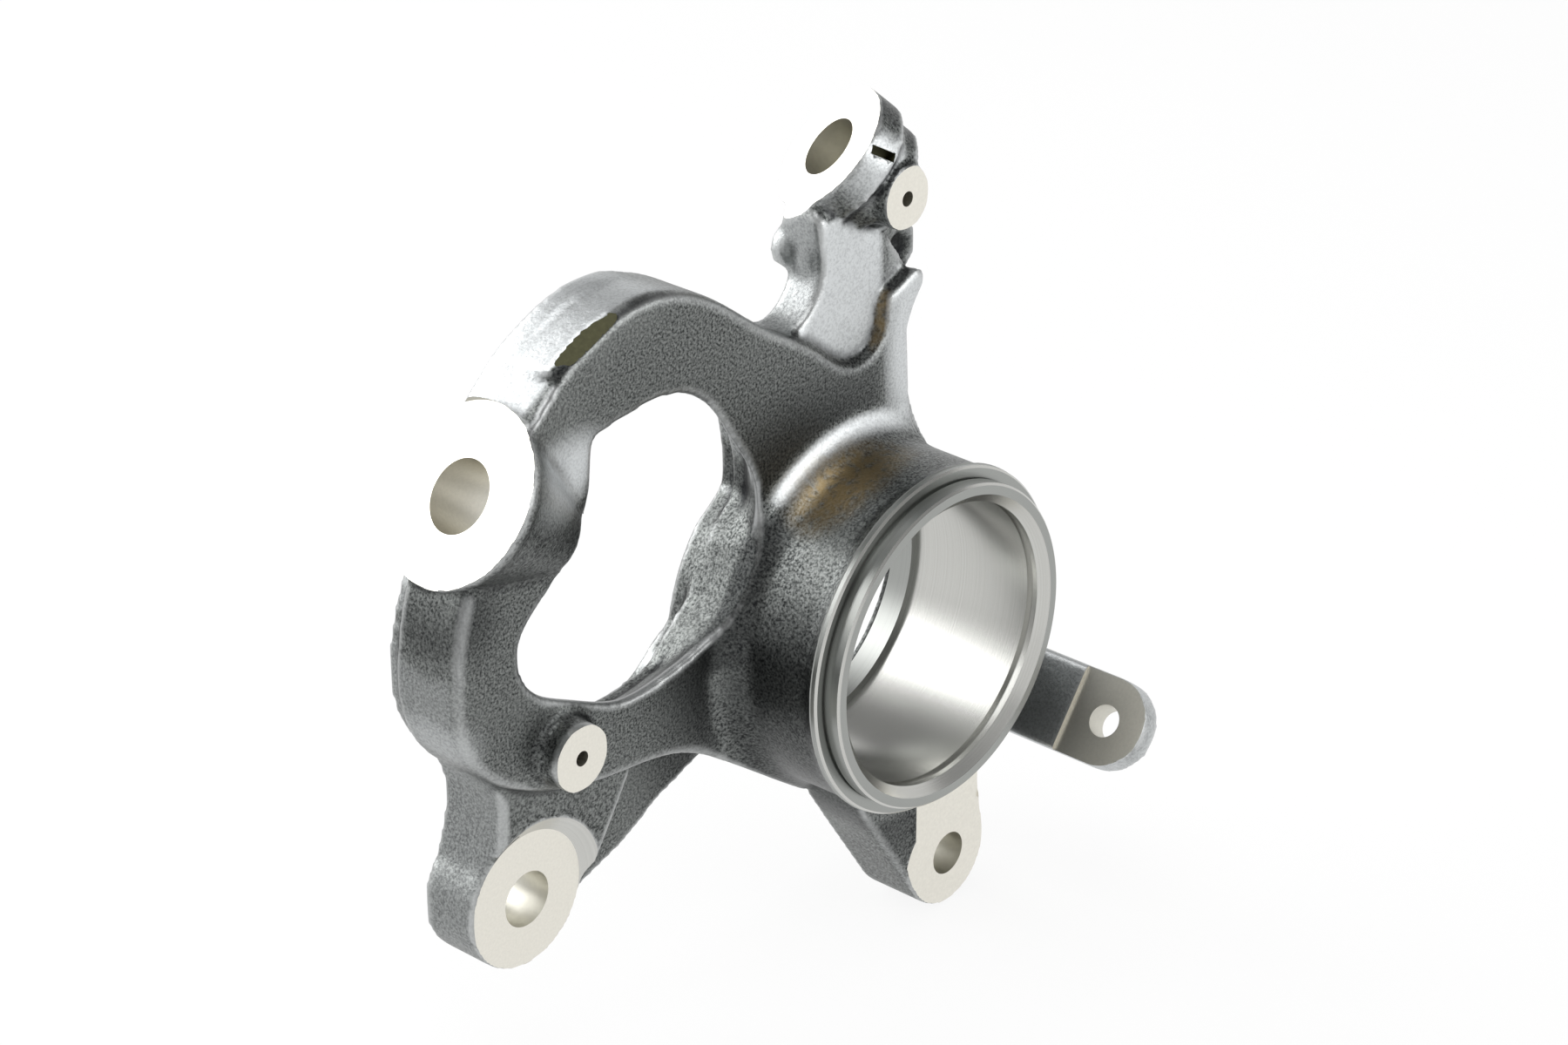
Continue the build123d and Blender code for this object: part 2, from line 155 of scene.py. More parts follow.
def lathe(profile, place, finish, steps=96):
    """Turns (radius, height) points about the tool's Z; finish is a slot, or one slot per segment."""
    bm = bmesh.new()
    verts = [bm.verts.new((p[0], 0, p[1])) for p in profile]
    edges = [bm.edges.new(pair) for pair in zip(verts, verts[1:])]
    bmesh.ops.spin(bm, geom=verts + edges, cent=(0, 0, 0), axis=(0, 0, 1), angle=2 * math.pi,
                   steps=steps, use_merge=True, use_duplicate=False)
    bmesh.ops.remove_doubles(bm, verts=bm.verts, dist=1e-6)
    bmesh.ops.recalc_face_normals(bm, faces=bm.faces)
    slots = finish if isinstance(finish, (list, tuple)) else [finish] * (len(profile) - 1)
    middles = [Vector(((p[0] + q[0]) / 2, (p[1] + q[1]) / 2)) for p, q in zip(profile, profile[1:])]
    for face in bm.faces:
        c = face.calc_center_median()
        at = Vector((c.xy.length, c.z))
        face.material_index = slots[min(range(len(middles)), key=lambda i: (middles[i] - at).length)]
        face.smooth = True
    bmesh.ops.transform(bm, matrix=place, verts=bm.verts)
    return bm


def hole(name):
    """Centre of a hole's machined face, the axis out of it, radius and depth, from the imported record."""
    m = MOUNTS[name]
    axis = Vector(m["axis"]).normalized()
    return (Vector(m["pos_m"]) + axis * FACE_OUT[name] * MM, axis, m["dims"]["r_mm"] * MM,
            m["dims"]["length_mm"] * MM)


def drill(name, above, face_radius, deeper=0.0, flank=0.0, wall=DRILLED):
    """Spot cutter and drill in one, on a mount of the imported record.

    The cutter reaches above the face, and flank widens it there. wall is the finish of the hole.
    """
    at, axis, r, deep = hole(name)
    place, end = frame_on(at, axis), -deep - deeper
    if face_radius <= r:
        return lathe([(0, end), (r, end), (r, above), (0, above)], place, wall)
    profile = [(0, end), (r, end), (r, 0), (face_radius, 0), (face_radius + flank, above), (0, above)]
    return lathe(profile, place, [wall, wall, MILLED, SEAT, SEAT])


def merged(name, parts, materials):
    """One object out of several bmesh parts."""
    mesh = bpy.data.meshes.new(name)
    total = bmesh.new()
    for part in parts:
        piece = bpy.data.meshes.new("part")
        part.to_mesh(piece)
        part.free()
        total.from_mesh(piece)
        bpy.data.meshes.remove(piece)
    total.to_mesh(mesh)
    total.free()
    for m in materials:
        mesh.materials.append(m)
    made = bpy.data.objects.new(name, mesh)
    bpy.context.scene.collection.objects.link(made)
    return made


def apply_modifiers(made):
    """Makes what the modifiers show the object's own mesh."""
    bpy.context.view_layer.update()
    graph = bpy.context.evaluated_depsgraph_get()
    mesh = bpy.data.meshes.new_from_object(made.evaluated_get(graph))
    made.modifiers.clear()
    old, made.data = made.data, mesh
    bpy.data.meshes.remove(old)


def rod(start, end, radius):
    """A plain closed cylinder between two points."""
    a, b = Vector(start), Vector(end)
    bm = bmesh.new()
    bmesh.ops.create_cone(bm, cap_ends=True, segments=64, radius1=radius, radius2=radius,
                          depth=(b - a).length, matrix=frame_on((a + b) / 2, b - a))
    return bm


def box(place, dims, slot):
    """A block of the given size in the middle of place."""
    bm = bmesh.new()
    bmesh.ops.create_cube(bm, size=1, matrix=place @ Matrix.Diagonal((*dims, 1)))
    for face in bm.faces:
        face.material_index = slot
    return bm


def plug(name, stock, extra=1.2 * MM, below=0.0):
    """Fills a mount's hole and leaves stock on its face."""
    at, axis, r, deep = hole(name)
    return rod(at - axis * (deep + below), at + axis * stock, r + extra)


def raised(name, radius, thick, stock):
    """Stock on a round machined face."""
    at, axis = hole(name)[:2]
    return rod(at - axis * thick, at + axis * stock, radius)


def tab_frame():
    """Matrix on the tab's milled face: x toward its tip, z out of the face toward the bore."""
    at, axis = hole("sensor_tab_hole")[:2]
    x = Vector((0, -1, 0))
    turn = Matrix((x, axis.cross(x), axis)).transposed().to_4x4()
    return Matrix.Translation(at) @ turn


def tab_stock(stock):
    """Stock on the tab's milled face, with its round tip."""
    tip, length, thick = 0.013, 0.0116, 0.004
    middle = (stock - thick) / 2
    bm = bmesh.new()
    bmesh.ops.create_cone(bm, cap_ends=True, segments=64, radius1=tip, radius2=tip, depth=thick + stock,
                          matrix=tab_frame() @ Matrix.Translation((0, 0, middle)))
    bmesh.ops.create_cube(bm, size=1, matrix=tab_frame() @ Matrix.Translation((-length / 2, 0, middle))
                          @ Matrix.Diagonal((length, 2 * tip, thick + stock, 1)))
    return bm


def tab_mill():
    """Cutter that leaves the tab's milled face; its back end stands where the rough arm starts."""
    length, width, high, ahead = 0.0314, 0.032, 0.008, 0.0042
    return box(tab_frame() @ Matrix.Translation((ahead, 0, high / 2)), (length, width, high), MILLED)


def tongue(low, high):
    """Block on the lower middle ear's face, up toward the hub, from low to high along its axis."""
    at = hole("lower_middle_ear_hole")[0]
    width, rise, aside = 0.0275, 0.032, 0.001
    middle = Matrix.Translation((at.x - aside, at.y - (low + high) / 2, at.z + rise / 2))
    return box(middle, (width, high - low, rise), MILLED)


def neck_slope():
    """Slope from the top of the arm's web back under the lug."""
    bm = bmesh.new()
    for x, y, z in ((-8.5, 18.8, 113), (5.5, 18.8, 106.3), (20, 18.8, 99.8), (-5, 26, 121), (9, 26, 121),
                    (21, 26, 112), (-8.5, 32, 113), (20, 32, 100), (-4, 32, 120), (20, 32, 112)):
        bm.verts.new((x * MM, y * MM, z * MM))
    made = bmesh.ops.convex_hull(bm, input=bm.verts)
    bmesh.ops.delete(bm, geom=[v for v in made["geom_interior"] if isinstance(v, bmesh.types.BMVert)])
    bmesh.ops.recalc_face_normals(bm, faces=bm.faces)
    return bm


def slit():
    """Cutter for the narrow slit in the lug's side."""
    middle, length, deep, width = (0.0076, 0.0112, 0.1298), 0.0075, 0.007, 0.0023
    along, out = Vector((0.80, -0.35, -0.48)).normalized(), Vector((-0.713, -0.601, 0.362))
    across = along.cross(out).normalized()
    turn = Matrix((along, across.cross(along), across)).transposed().to_4x4()
    # Its walls get the dark olive painted shade
    return box(Matrix.Translation(middle) @ turn, (length, deep, width), PAINTED_SHADE_SLOT)


def edge_cutter():
    """Flat across the ring's front edge at its upper left."""
    middle, length, width, thick = (-0.0952, 0.015, 0.1084), 0.030, 0.026, 0.006
    chord, lean = math.radians(22.8), math.radians(36)
    out = Vector((-math.sin(chord) * math.cos(lean), -math.sin(lean), math.cos(chord) * math.cos(lean)))
    along = Vector((math.cos(chord), 0, math.sin(chord)))
    turn = Matrix((along, out.cross(along), out)).transposed().to_4x4()
    place = Matrix.Translation(middle) @ turn @ Matrix.Translation((0, 0, thick / 2))
    # Its face gets the dark olive painted shade
    return box(place, (length, width, thick), PAINTED_SHADE_SLOT)


def read(items, key, width=3, kind=np.float64):
    """A mesh property as an array, one row per item."""
    values = np.empty(len(items) * width, dtype=kind)
    items.foreach_get(key, values)
    return values.reshape(-1, width)


def relaxed(mesh, co, passes, weight):
    """Points moved toward the mean of their neighbours, by a weight per point."""
    a, b = read(mesh.edges, "vertices", 2, np.int64).T
    count = np.bincount(a, minlength=len(co)) + np.bincount(b, minlength=len(co))
    co = co.copy()
    for _ in range(passes):
        total = np.stack([np.bincount(a, weights=co[b, i], minlength=len(co))
                          + np.bincount(b, weights=co[a, i], minlength=len(co)) for i in range(3)], axis=1)
        co += (total / np.maximum(count, 1)[:, None] - co) * (PULL * weight)[:, None]
    return co


def soft(value, low, high):
    """Smooth step from 0 at low to 1 at high."""
    t = np.clip((value - low) / (high - low), 0, 1)
    return t * t * (3 - 2 * t)


def between(value, rise, fall):
    """0, then 1 once past rise, and 0 again past fall; each is where it starts and where it ends."""
    return soft(value, *rise) * (1 - soft(value, *fall))


def blob(co, centre, reach):
    """1 round centre, fading to 0 at reach; co, centre and reach in mm."""
    far = np.linalg.norm((co - np.array(centre)) / np.array(reach), axis=1)
    return 1 - soft(far, 0.3, 1.0)


def blobs(co, table):
    """The strongest of several blobs, each given by strength, centre and reach."""
    return np.max([strength * blob(co, centre, reach) for strength, centre, reach in table], axis=0)


def paint(mesh):
    """Point attributes of the skin: creases and edges, which the material gives painted shade and painted
    highlights, places of painted light and painted shade, and the oil film.
    """
    co = read(mesh.vertices, "co")
    normal = read(mesh.vertices, "normal")
    mean = relaxed(mesh, co, 5, np.ones(len(co)))
    crease = ((mean - co) * normal).sum(1) / MM
    at = co / MM
    x, y, z = at.T
    # Distance from the bore's axis in mm and degrees round it
    hub, turn = np.hypot(x, z), np.degrees(np.arctan2(z, x))
    # Which way the skin faces; slope is up and to the left, as the ring's upper edge does
    left, ahead, up = -normal[:, 0], -normal[:, 1], normal[:, 2]
    slope = normal @ np.array((-0.51, 0.0, 0.86))
    front, side = soft(ahead, 0.6, 0.95), 1 - soft(ahead, 0.45, 0.7)
    # Where it lies: behind the plate's face, on the arm's web, round the band's top, in the window and
    # turned into it, and on the right wall of the arm's recess
    behind = soft(y, 16.5, 19)
    web = between(x, (-24, -17), (15, 18)) * soft(z, 62, 67) * soft(y, 16.6, 17.6)
    band = between(hub, (49.5, 52.5), (56, 58.5)) * between(turn, (55, 75), (122, 134))
    window = between(x, (-126, -120), (-34, -30)) * between(z, (-4, 0), (66, 78))
    inward = np.maximum(soft(up, 0.3, 0.6), soft(left, 0.3, 0.6) * (1 - soft(y, 16.5, 17.5)))
    wall = (soft(left, 0.3, 0.6) * (1 - soft(y, 20, 22)) * between(x, (8, 11), (21, 23))
            * between(z, (64, 68), (98, 102)))
    # Painted light: lightening where the lamps give too little, at single spots, on skin facing up and left
    # behind the plate, on the arm's web and front, on the tab, and a painted highlight along the band's top
    light = np.max([
        blobs(at, PAINTED_LIGHT_SPOTS),
        soft(slope, 0.5, 0.85) * behind * soft(z, 15, 60) * (1 - 0.6 * soft(x, -32, -25) * soft(z, 78, 84)),
        front * web,
        0.85 * front * soft(z, 100, 112) * soft(x, -22, -6),
        front * blob(at, (25, 15, 70), (15, 9, 42)),
        0.2 * soft(left, 0.6, 0.95) * behind,
        0.5 * soft(left, 0.5, 0.9) * behind * soft(z, 80, 90) * soft(x, -24, -20),
        0.8 * side * soft(y, 17.5, 19) * soft(left, 0.3, 0.7) * soft(x, -66, -56) * window,
        0.8 * soft(x, 44, 50) * (1 - soft(y, 14, 22)),
        band * (1 - soft(y, 14, 15.6))], axis=0)
    # Painted shade: darkening at single spots, round the hub, on the barrel's left flank, on the ring's
    # upper edge, on the recess wall, in the window and under the lug
    dark = np.max([
        blobs(at, PAINTED_SHADE_SPOTS),
        0.7 * front * between(hub, (55, 58), (58, 86)) * (1 - soft(z, 30, 60) * soft(x, 8, 16)),
        0.8 * (1 - soft(hub, 56, 62)) * soft(left - 0.6 * up, 0.2, 0.9),
        0.95 * between(hub, (46, 48), (58, 64)) * between(turn, (118, 136), (176, 180)) * soft(y, 5, 10),
        soft(slope, 0.25, 0.5) * between(ahead, (0.25, 0.45), (0.75, 0.92)) * (1 - soft(y, 20, 22))
        * (1 - soft(y, 17.5, 19) * (1 - soft(x, -26, -22))) * soft(z, 60, 80),
        wall,
        side * between(y, (15.0, 15.4), (20, 22)) * inward * window,
        soft(z + 0.5 * x, 109, 111) * (1 - soft(z, 121, 124)) * between(x, (-13, -10), (21, 24))
        * between(y, (18.6, 19.2), (28, 30)) * soft(up, 0.0, 0.3)], axis=0)
    # The brown film on the barrel, and a brown tint on the recess wall's painted shade
    oil = np.maximum(0.85 * blob(at, (-14, 4, 46), (30, 13, 15)), 0.4 * wall)
    # tone holds painted light above 0 and painted shade below 0
    for key, values in (("crease", crease), ("tone", light - dark), ("oil", oil)):
        made = mesh.attributes.new(key, "FLOAT", "POINT")
        made.data.foreach_set("value", values.astype(np.float32))


# Materials


def put(tree, socket, value):
    """Links another socket into this one, or sets it to a plain value."""
    if isinstance(value, bpy.types.NodeSocket):
        tree.links.new(value, socket)
    else:
        socket.default_value = value


def add_node(tree, kind, **inputs):
    """Adds a node and sets its inputs by name, or links them when given a socket."""
    node = tree.nodes.new(kind)
    for key, value in inputs.items():
        put(tree, node.inputs[key.replace("_", " ")], value)
    return node


def new_material(name):
    made = bpy.data.materials.new(name)
    made.use_nodes = True
    tree = made.node_tree
    tree.nodes.clear()
    out = tree.nodes.new("ShaderNodeOutputMaterial")
    return made, tree, out


def mix_colour(tree, fac, a, b):
    node = tree.nodes.new("ShaderNodeMix")
    node.data_type = "RGBA"
    for index, value in ((0, fac), (6, a), (7, b)):
        put(tree, node.inputs[index], value)
    return node.outputs[2]


def rgba(value, by=1.0):
    """A colour as a socket takes it, dimmed by a factor."""
    return (*(by * c for c in value), 1.0)


def ramp(tree, fac, low, high):
    """0 below low, 1 above high."""
    return add_node(tree, "ShaderNodeMapRange", Value=fac, From_Min=low, From_Max=high).outputs["Result"]


def noise(tree, place, scale, detail=2.0, rough=0.5):
    node = add_node(tree, "ShaderNodeTexNoise", Vector=place, Scale=scale, Detail=detail, Roughness=rough)
    return node.outputs["Fac"]


def attribute(tree, name):
    node = tree.nodes.new("ShaderNodeAttribute")
    node.attribute_name = name
    return node.outputs["Fac"]


def scaled(tree, value, by):
    """A value times a number or another value."""
    node = tree.nodes.new("ShaderNodeMath")
    node.operation = "MULTIPLY"
    put(tree, node.inputs[0], value)
    put(tree, node.inputs[1], by)
    return node.outputs[0]


def iron(tree, out, tone, rough, bump, metallic=1.0):
    """Metal of one tone, on the material's output."""
    shader = add_node(tree, "ShaderNodeBsdfPrincipled", Base_Color=tone, Metallic=metallic, Roughness=rough,
                      Normal=bump.outputs["Normal"])
    tree.links.new(shader.outputs[0], out.inputs[0])


def cast_skin():
    """Shot-blasted sand-cast iron: dark and grainy, with painted shade in its creases and shaded places and
    painted highlights on its edges and lit places.
    """
    made, tree, out = new_material("sand_cast_ductile_iron")
    place = tree.nodes.new("ShaderNodeTexCoord").outputs["Object"]
    fine = noise(tree, place, 1 / (0.75 * MM), 3, 0.65)
    grain = noise(tree, place, 1 / (2.4 * MM))
    broad = noise(tree, place, 1 / (30 * MM))
    tone, crease = attribute(tree, "tone"), attribute(tree, "crease")
    skin, bright, painted_shade_colour = rgba(colours().skin), rgba(colours().skin_painted_highlight), rgba(colours().painted_shade_colour)
    body = mix_colour(tree, ramp(tree, fine, 0.36, 0.64), rgba(colours().skin_dark), skin)
    worn = mix_colour(tree, scaled(tree, ramp(tree, broad, 0.45, 0.75), 0.35), body, skin)
    # Painted highlight: a grainy light colour, mixed in where the tone is above 0
    painted_highlight = mix_colour(tree, ramp(tree, fine, 0.34, 0.56), rgba(colours().skin_painted_highlight, 0.8), bright)
    lit = mix_colour(tree, scaled(tree, ramp(tree, tone, 0, 1), 0.92), worn, painted_highlight)
    # Painted shade, mixed in where the tone is below 0
    with_painted_shade = mix_colour(tree, scaled(tree, ramp(tree, tone, 0, -1), 0.7), lit, painted_shade_colour)
    film = mix_colour(tree, scaled(tree, attribute(tree, "oil"), ramp(tree, grain, 0.22, 0.55)), with_painted_shade,
                      rgba(colours().oil))
    # Painted shade in the creases
    deep = mix_colour(tree, scaled(tree, ramp(tree, crease, 0.06, 0.28), 0.9), film, painted_shade_colour)
    # Painted highlight on the convex edges
    edge = mix_colour(tree, scaled(tree, ramp(tree, crease, -0.10, -0.3), 0.5), deep, rgba(colours().edge))
    pits = add_node(tree, "ShaderNodeBump", Height=fine, Strength=0.4, Distance=0.18 * MM)
    bump = add_node(tree, "ShaderNodeBump", Height=grain, Strength=0.3, Distance=0.3 * MM,
                    Normal=pits.outputs["Normal"])
    iron(tree, out, edge, 0.4, bump)
    return made


def machined(name, colour, grain, rough, dark=0.84, metallic=1.0, strength=0.15, depth=0.05 * MM):
    """Cut iron with a fine satin grain; dark is how far the grain dims its colour."""
    made, tree, out = new_material(name)
    place = tree.nodes.new("ShaderNodeTexCoord").outputs["Object"]
    fine = noise(tree, place, 1 / grain)
    bump = add_node(tree, "ShaderNodeBump", Height=fine, Strength=strength, Distance=depth)
    iron(tree, out, mix_colour(tree, fine, rgba(colour, dark), rgba(colour)), rough, bump, metallic)
    return made


def milled_iron():
    """Face-milled iron: bright and satin."""
    return machined("milled_iron", colours().cut, 0.8 * MM, 0.36)


def drilled_iron():
    """Drilled holes: duller than the faces round them."""
    return machined("drilled_iron", colours().drilled, 1.5 * MM, 0.42)


def painted_shade_iron():
    """Dull olive grey: painted shade, on the facet across the ring's edge and in the lug's slit."""
    return machined("painted_shade_iron", colours().olive_painted_shade, 1.2 * MM, 0.55, 0.5, 0.6, 0.3, 0.1 * MM)


def turned(name, colour, rough):
    """Fine-turned iron, with feed lines round the axis."""
    made, tree, out = new_material(name)
    place = tree.nodes.new("ShaderNodeTexCoord").outputs["Object"]
    feed = tree.nodes.new("ShaderNodeTexNoise")
    feed.noise_dimensions = "1D"
    put(tree, feed.inputs["W"], add_node(tree, "ShaderNodeSeparateXYZ", Vector=place).outputs["Y"])
    put(tree, feed.inputs["Scale"], 1 / (0.5 * MM))
    lines = feed.outputs["Fac"]
    bump = add_node(tree, "ShaderNodeBump", Height=lines, Strength=0.2, Distance=0.02 * MM)
    iron(tree, out, mix_colour(tree, lines, rgba(colour, 0.86), rgba(colour)), rough, bump)
    return made


def floor_paint():
    """Matt white studio paper, lit through from behind so that shadows stay faint."""
    made, tree, out = new_material("studio_paper")
    place = tree.nodes.new("ShaderNodeTexCoord").outputs["Object"]
    tone = mix_colour(tree, noise(tree, place, 4.0), rgba(colours().floor, 0.99), rgba(colours().floor))
    shader = add_node(tree, "ShaderNodeBsdfPrincipled", Base_Color=tone, Roughness=0.9)
    glow = add_node(tree, "ShaderNodeEmission", Color=tone, Strength=1.0)
    path = tree.nodes.new("ShaderNodeLightPath")
    seen = path.outputs["Is Camera Ray"]
    for ray in ("Is Glossy Ray", "Is Transmission Ray"):
        either = tree.nodes.new("ShaderNodeMath")
        either.operation = "MAXIMUM"
        tree.links.new(seen, either.inputs[0])
        tree.links.new(path.outputs[ray], either.inputs[1])
        seen = either.outputs[0]
    mix = tree.nodes.new("ShaderNodeMixShader")
    tree.links.new(scaled(tree, seen, 0.9), mix.inputs[0])
    tree.links.new(shader.outputs[0], mix.inputs[1])
    tree.links.new(glow.outputs[0], mix.inputs[2])
    tree.links.new(mix.outputs[0], out.inputs[0])
    return made


# Operators


class KNUCKLE_OT_casting(bpy.types.Operator):
    """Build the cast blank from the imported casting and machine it"""

    bl_idname = "knuckle.casting"
    bl_label = "Casting"

    def execute(self, context):
        made = blank()
        # The fourth finish is the dark olive painted shade
        finishes = [cast_skin(), turned("turned_seat", colours().turned, 0.26), milled_iron(), painted_shade_iron(),
                    drilled_iron(), turned("turned_register", colours().register, 0.3)]
        made.data.materials.clear()
        for finish in finishes:
            made.data.materials.append(finish)
        machine(made, finishes)
        shade(made)
        paint(made.data)
        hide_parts(CASTING)
        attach(made, "root")
        return {"FINISHED"}


def blank():
    """The rough casting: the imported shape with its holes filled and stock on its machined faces."""
    s = sizes()
    top = -s.mouth - s.stock
    source = bmesh.new()
    source.from_mesh(frame["nodes"][CASTING].data)
    bmesh.ops.remove_doubles(source, verts=source.verts, dist=2e-6)
    # The bore is plugged past its stop, and the band and register get their stock
    parts = [source, rod((0, top, 0), (0, 0.0345, 0), 0.0435),
             rod((0, top, 0), (0, -0.0138, 0), s.band_radius + 0.6 * MM)]
    for name, radius, below in STOCKED:
        parts.append(plug(name, s.stock, below=below))
        parts.append(raised(name, radius, STOCK_DEPTH, s.stock))
    # The lug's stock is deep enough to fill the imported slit, which is cut again in its place
    parts.append(plug("top_lug_hole", s.stock))
    parts.append(raised("top_lug_hole", 0.0187, 0.0095, s.stock))
    # The lower left ear gets a filler toward the ring, for the run-out above its spot face
    parts.append(plug("lower_left_ear_hole", 0.0004))
    parts.append(raised("lower_left_ear_hole", 0.0195, STOCK_DEPTH, s.stock))
    ear = hole("lower_left_ear_hole")[0] + Vector((0.0070, 0, 0.0075))
    parts.append(rod(ear + Vector((0, 0.003, 0)), ear - Vector((0, 0.0035, 0)), 0.0155))
    parts.append(plug("sensor_tab_hole", s.stock))
    parts.append(tab_stock(s.stock))
    parts.append(tongue(-STOCK_DEPTH, s.stock))
    parts.append(neck_slope())
    made = merged("knuckle_blank", parts, [])
    step = made.modifiers.new("Grain", "REMESH")
    step.mode, step.voxel_size, step.use_smooth_shade = "VOXEL", s.grain, True
    apply_modifiers(made)
    co = read(made.data.vertices, "co")
    co = relaxed(made.data, co, s.softening, np.ones(len(co)))
    co = relaxed(made.data, co, 14, blobs(co / MM, JOINTS))
    window_draft(co)
    made.data.vertices.foreach_set("co", co.ravel())
    made.data.update()
    return made


def window_draft(co):
    """Leans the window's right and lower walls back behind their front edge."""
    x, y, z = co.T / MM
    right = between(z, (30, 44), (72, 86)) * between(x, (-72, -60), (-44, -22))
    low = between(z, (-14, -3), (16, 30)) * between(x, (-124, -112), (-66, -52))
    co[:, 0] += np.clip(y - 16, 0, 9) * MM * right
    co[:, 2] -= 0.7 * np.clip(y - 17, 0, 9) * MM * low


def machine(made, finishes):
    """Turning, spot facing and drilling in a first cut, milling and dressing in a second."""
    s = sizes()
    mouth, register, band = s.mouth, s.register_radius, s.band_radius
    r = MOUNTS["hub_bore"]["dims"]["r_mm"] * MM
    # Relief behind the stop, the stop, the ring groove, small chamfers and the tool's outer wall, in m
    relief, end, back = 0.0425, -0.060, -0.0316
    stop, shoulder = r - 0.002, -0.0246
    groove, low, high = r + 0.0012, 0.015, 0.017
    nick, outer, clear = 0.0006, 0.056, mouth + 0.02
    # Radius, height, and the slot of the face that runs on to the next point
    hub = [(0, end, SKIN), (relief, end, SKIN), (relief, back, SKIN), (stop, back, REGISTER),
           (stop, shoulder, REGISTER), (r, shoulder, SEAT), (r, low, SEAT), (groove, low, SEAT),
           (groove, high, SEAT), (r, high, SEAT), (r, mouth - 0.0026, SEAT), (r + 0.0026, mouth, REGISTER),
           (register - nick, mouth, SEAT), (register, mouth - nick, REGISTER),
           (register, mouth - 0.0042, REGISTER), (register - nick, mouth - 0.0042, REGISTER),
           (register - nick, mouth - 0.005, REGISTER), (band - nick, mouth - 0.005, SEAT),
           (band, mouth - 0.0056, REGISTER), (band, mouth - 0.0068, REGISTER),
           (outer, mouth - 0.0138, REGISTER), (outer, clear, REGISTER), (0, clear, REGISTER)]
    tools = [lathe([p[:2] for p in hub], frame_on((0, 0, 0), (0, -1, 0)), [p[2] for p in hub[:-1]], 160),
             drill("left_boss_hole", 0.03, 0.0245, 0.0125, flank=0.012, wall=MILLED),
             drill("lower_left_ear_hole", 0.006, 0.0192, 0.002, flank=0.0076),
             drill("lower_middle_ear_hole", 0.010, 0.018, 0.002),
             drill("sensor_tab_hole", 0.010, 0.0047, 0.003),
             drill("top_lug_hole", 0.012, 0.0225),
             drill("plate_boss_hole", 0.003, 0.011),
             drill("top_boss_hole", 0.003, 0.0105)]
    for cutters in (tools, [tab_mill(), edge_cutter(), tongue(0, 0.006), slit()]):
        tool = merged("cutters", cutters, finishes)
        step = made.modifiers.new("Machining", "BOOLEAN")
        step.operation, step.solver, step.object = "DIFFERENCE", "EXACT", tool
        step.material_mode = "INDEX"
        apply_modifiers(made)
        bpy.data.objects.remove(tool)


def shade(made):
    """Smooth skin, with a hard edge wherever two finishes or two machined faces meet."""
    bm = bmesh.new()
    bm.from_mesh(made.data)
    bm.normal_update()
    for edge in bm.edges:
        if len(edge.link_faces) == 2:
            a, b = edge.link_faces
            sharp = a.material_index != b.material_index
            if a.material_index and b.material_index:
                sharp = sharp or a.normal.angle(b.normal, 0) > math.radians(20)
            edge.smooth = not sharp
    for face in bm.faces:
        face.smooth = True
    bm.to_mesh(made.data)
    bm.free()


# Radius and height of the floor, in m: flat, then turned up into a bowl
SWEEP = [(0, 0), (4.5, 0), (5.2, 0.12), (5.7, 0.5), (5.95, 1.2), (6.0, 3.2)]
# Where the lamps point, in m
AIM = Vector((-0.03, 0, 0.02))
# Name, place in m, watts, width and height in m
LIGHTS = (("back_card", (-0.55, 1.35, 0.85), 24, 1.7, 1.3), ("overhead", (-0.35, -0.1, 1.6), 16, 1.4, 1.4),
          ("front_top", (0.25, -1.4, 0.55), 3.5, 0.7, 0.3), ("front", (0.9, -1.4, 0.35), 3, 0.9, 0.6))


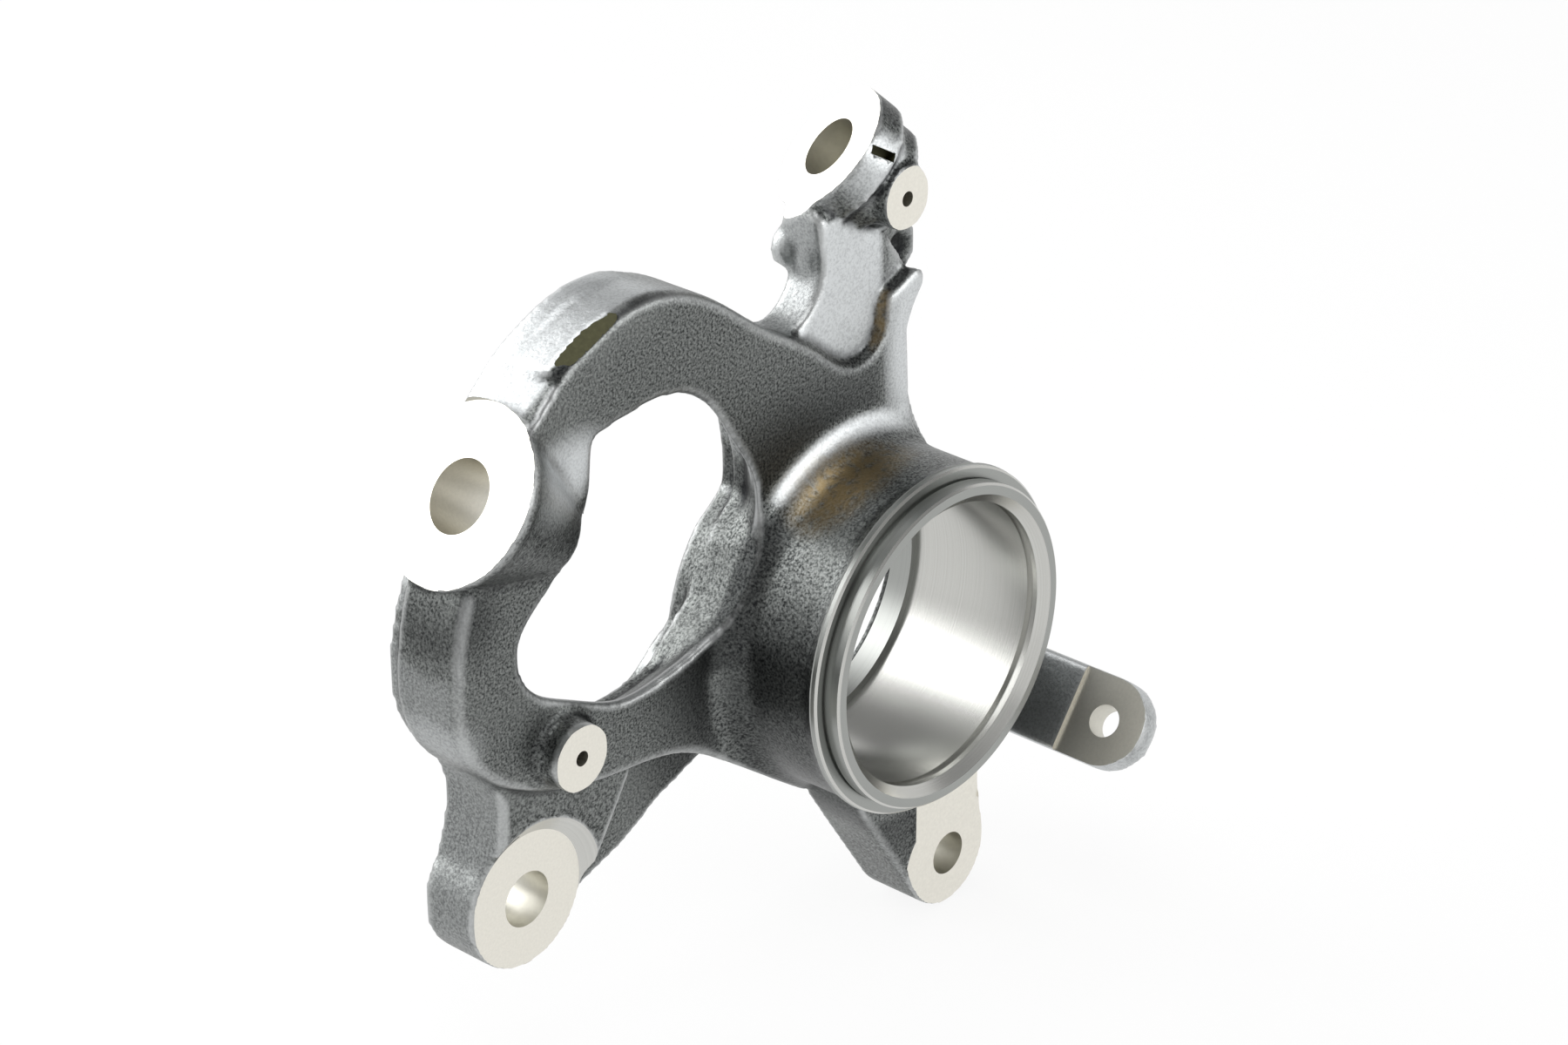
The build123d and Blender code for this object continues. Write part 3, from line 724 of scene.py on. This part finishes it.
class KNUCKLE_OT_stage(bpy.types.Operator):
    """Set up the floor, lights, world and camera of the photograph"""

    bl_idname = "knuckle.stage"
    bl_label = "Stage"

    def execute(self, context):
        low = CAD_BOX[0][2]
        bm = lathe(SWEEP, Matrix.Translation((0, 0, low - MM)), 0, 64)
        mesh = bpy.data.meshes.new("floor")
        bm.to_mesh(mesh)
        bm.free()
        mesh.materials.append(floor_paint())
        floor = bpy.data.objects.new("floor", mesh)
        context.scene.collection.objects.link(floor)
        for name, at, watts, wide, high in LIGHTS:
            lamp = bpy.data.lights.new(name, "AREA")
            lamp.shape = "RECTANGLE"
            lamp.energy, lamp.size, lamp.size_y = watts, wide, high
            lit = bpy.data.objects.new(name, lamp)
            lit.location = at
            lit.rotation_euler = (AIM - Vector(at)).to_track_quat("-Z", "Y").to_euler()
            context.scene.collection.objects.link(lit)
        studio_world(context.scene)
        camera(context.scene)
        context.scene.view_settings.view_transform = "Standard"
        return {"FINISHED"}


def studio_world(scene):
    """Dim even room round the lamps."""
    world = bpy.data.worlds.new("studio")
    world.use_nodes = True
    room = world.node_tree.nodes["Background"]
    room.inputs["Color"].default_value = (1, 1, 1, 1)
    room.inputs["Strength"].default_value = 0.3
    scene.world = world


def camera(scene):
    """The photograph's view: 48.35 degrees round to the left of the bore, 26.6 degrees up, 90 mm lens."""
    turn, rise = math.radians(-48.35), math.radians(26.6)
    lens = bpy.data.cameras.new("camera")
    lens.lens, lens.sensor_width = 90, 36
    seen = bpy.data.objects.new("camera", lens)
    back = Vector((math.sin(turn) * math.cos(rise), -math.cos(turn) * math.cos(rise), math.sin(rise)))
    seen.rotation_euler = back.to_track_quat("Z", "Y").to_euler()
    seen.location = (-0.71462, -0.59709, 0.49628)
    scene.collection.objects.link(seen)
    scene.camera = seen


class KNUCKLE_PT_panel(bpy.types.Panel):
    """Sizes, colours and the two steps"""

    bl_label = "Steering knuckle"
    bl_idname = "KNUCKLE_PT_panel"
    bl_space_type = "VIEW_3D"
    bl_region_type = "UI"
    bl_category = "Knuckle"

    def draw(self, context):
        for group in (context.scene.knuckle_sizes, context.scene.knuckle_colours):
            for key in group.__annotations__:
                self.layout.prop(group, key)
        self.layout.operator("knuckle.casting")
        self.layout.operator("knuckle.stage")


CLASSES = (KnuckleSizes, KnuckleColours, KNUCKLE_OT_casting, KNUCKLE_OT_stage, KNUCKLE_PT_panel)


def register():
    for kind in CLASSES:
        bpy.utils.register_class(kind)
    bpy.types.Scene.knuckle_sizes = bpy.props.PointerProperty(type=KnuckleSizes)
    bpy.types.Scene.knuckle_colours = bpy.props.PointerProperty(type=KnuckleColours)


def unregister():
    del bpy.types.Scene.knuckle_colours
    del bpy.types.Scene.knuckle_sizes
    for kind in reversed(CLASSES):
        bpy.utils.unregister_class(kind)


def main():
    register()
    bpy.ops.knuckle.casting()
    bpy.ops.knuckle.stage()


if __name__ == "__main__":
    main()
